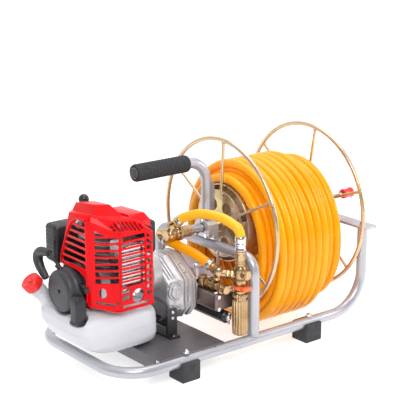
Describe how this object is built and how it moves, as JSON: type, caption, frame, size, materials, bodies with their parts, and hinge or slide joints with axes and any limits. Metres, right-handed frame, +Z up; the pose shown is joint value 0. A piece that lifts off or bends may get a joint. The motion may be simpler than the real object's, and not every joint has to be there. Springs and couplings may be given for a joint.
{
  "type": "engine-driven sprayer set with hose reel",
  "caption": "Portable motor sprayer set: small two-stroke engine geared to a plunger pump on a bent-tube skid with rubber feet, a carrying grip and a crank-wound hose reel.",
  "frame": {"origin": "middle of the footprint at floor level", "axes": "+X from the engine end to the reel end, parallel to the reel axle; +Y to the far side, where the air cleaner is; +Z up"},
  "size_m": [0.654, 0.3106, 0.3587],
  "materials": {
    "silver_paint": "semi-gloss silver-grey paint",
    "black_rubber": "matt",
    "black_plastic": "satin",
    "black_paint": "satin black paint",
    "red_plastic": "gloss",
    "white_tank": "milky translucent",
    "yellow_zinc": "yellow-passivated zinc on steel",
    "brass": "machined",
    "cast_aluminium": "as cast",
    "bright_steel": "bright",
    "hose_yellow": "smooth",
    "orange_grip": "satin",
    "grey_plate": "dark grey paint"
  },
  "bodies": {
    "frame": {"base_frame": "silver_paint", "mid_frame": "silver_paint", "rear_bar": "silver_paint", "handle_tube": "silver_paint", "front_bearing": "silver_paint", "rear_bearing": "silver_paint", "engine_plate": "grey_plate", "foot_front_near": "black_rubber", "foot_front_far": "black_rubber", "foot_rear_near": "black_rubber", "foot_rear_far": "black_rubber", "handle_grip": "black_rubber", "foot_bolt_front_near": "bright_steel", "foot_bolt_front_far": "bright_steel", "foot_bolt_rear_near": "bright_steel", "foot_bolt_rear_far": "bright_steel", "muffler": "bright_steel", "feed_hose": "hose_yellow", "bypass_hose": "hose_yellow", "engine_shroud": "red_plastic", "fuel_tank": "white_tank", "cylinder": "cast_aluminium", "crankcase": "cast_aluminium", "fan_housing": "cast_aluminium", "carburettor": "cast_aluminium", "gear_case": "cast_aluminium", "gear_cover": "cast_aluminium", "pump_crankcase": "cast_aluminium", "plunger_block": "cast_aluminium", "plug_cap": "black_plastic", "starter_cover": "black_plastic", "air_cleaner": "black_plastic", "gearbox_bracket": "black_paint", "suction_rail": "black_paint", "brass_manifold": "brass", "regulator_body": "brass", "swivel_elbow": "brass"},
    "reel": {"reel_axle": "bright_steel", "wheel_rim_front": "yellow_zinc", "wheel_rim_rear": "yellow_zinc", "wheel_hub_front": "yellow_zinc", "wheel_hub_rear": "yellow_zinc", "reel_drum": "yellow_zinc", "hose_coil": "hose_yellow", "crank_arm": "yellow_zinc"},
    "knob": {"crank_knob": "red_plastic"},
    "engine_rotor": {"crankshaft": "bright_steel", "flywheel": "cast_aluminium", "pinion": "bright_steel"},
    "pump_rotor": {"pump_gear": "bright_steel", "pump_shaft": "bright_steel"},
    "plunger_a": {"plunger_1": "bright_steel"},
    "plunger_b": {"plunger_2": "bright_steel"},
    "throttle": {"throttle_lever": "bright_steel", "throttle_ball": "black_plastic"},
    "cap": {"fuel_cap": "red_plastic"},
    "pull_handle": {"starter_handle": "black_plastic"},
    "pulley": {"starter_pulley": "black_plastic"},
    "lever": {"relief_lever": "orange_grip"},
    "pressure_knob": {"regulator_knob": "brass"}
  },
  "joints": [
    {"name": "reel_spin", "type": "hinge", "parent": "frame", "child": "reel", "pos_m": [0.13654, 0, 0.2034], "axis": [1, 0, 0], "continuous": true},
    {"name": "crank_knob_spin", "type": "hinge", "parent": "reel", "child": "knob", "pos_m": [0.30654, -0.048, 0.2234], "axis": [1, 0, 0], "continuous": true},
    {"name": "pump_spin", "type": "hinge", "parent": "frame", "child": "pump_rotor", "pos_m": [-0.07096, 0, 0.108], "axis": [1, 0, 0], "continuous": true},
    {"name": "engine_spin", "type": "hinge", "parent": "frame", "child": "engine_rotor", "pos_m": [-0.08346, 0, 0.151], "axis": [1, 0, 0], "continuous": true},
    {"name": "plunger_a_slide", "type": "slide", "parent": "frame", "child": "plunger_a", "axis": [0, 1, 0], "range_m": [-0.0035, 0.0035]},
    {"name": "plunger_b_slide", "type": "slide", "parent": "frame", "child": "plunger_b", "axis": [0, 1, 0], "range_m": [-0.0035, 0.0035]},
    {"name": "throttle_swing", "type": "hinge", "parent": "frame", "child": "throttle", "pos_m": [-0.23346, 0.036, 0.244], "axis": [0, 1, 0], "range_deg": [-20, 30]},
    {"name": "fuel_cap_turn", "type": "hinge", "parent": "frame", "child": "cap", "pos_m": [-0.30423, 0.06099, 0.14516], "axis": [-0.6191, 0.0999, 0.7789], "range_deg": [0, 300]},
    {"name": "starter_pull", "type": "slide", "parent": "frame", "child": "pull_handle", "axis": [-0.0995, 0.796, 0.597], "range_m": [0, 0.2], "stiffness_N_per_m": 12, "springref_m": -0.15},
    {"name": "starter_pulley_spin", "type": "hinge", "parent": "frame", "child": "pulley", "pos_m": [-0.28696, 0, 0.151], "axis": [1, 0, 0], "range_deg": [0, 540]},
    {"name": "relief_lever_swing", "type": "hinge", "parent": "frame", "child": "lever", "pos_m": [-0.01346, -0.121, 0.13], "axis": [0, 0, 1], "range_deg": [-30, 15]},
    {"name": "pressure_knob_turn", "type": "hinge", "parent": "frame", "child": "pressure_knob", "pos_m": [-0.01346, -0.121, 0.08], "axis": [0, 0, 1], "range_deg": [-180, 180]}
  ],
  "couplings": [
    {"joint": "engine_spin", "follows": "pump_spin", "ratio": -3},
    {"joint": "starter_pulley_spin", "follows": "starter_pull", "rad_per_m": 45.455}
  ]
}
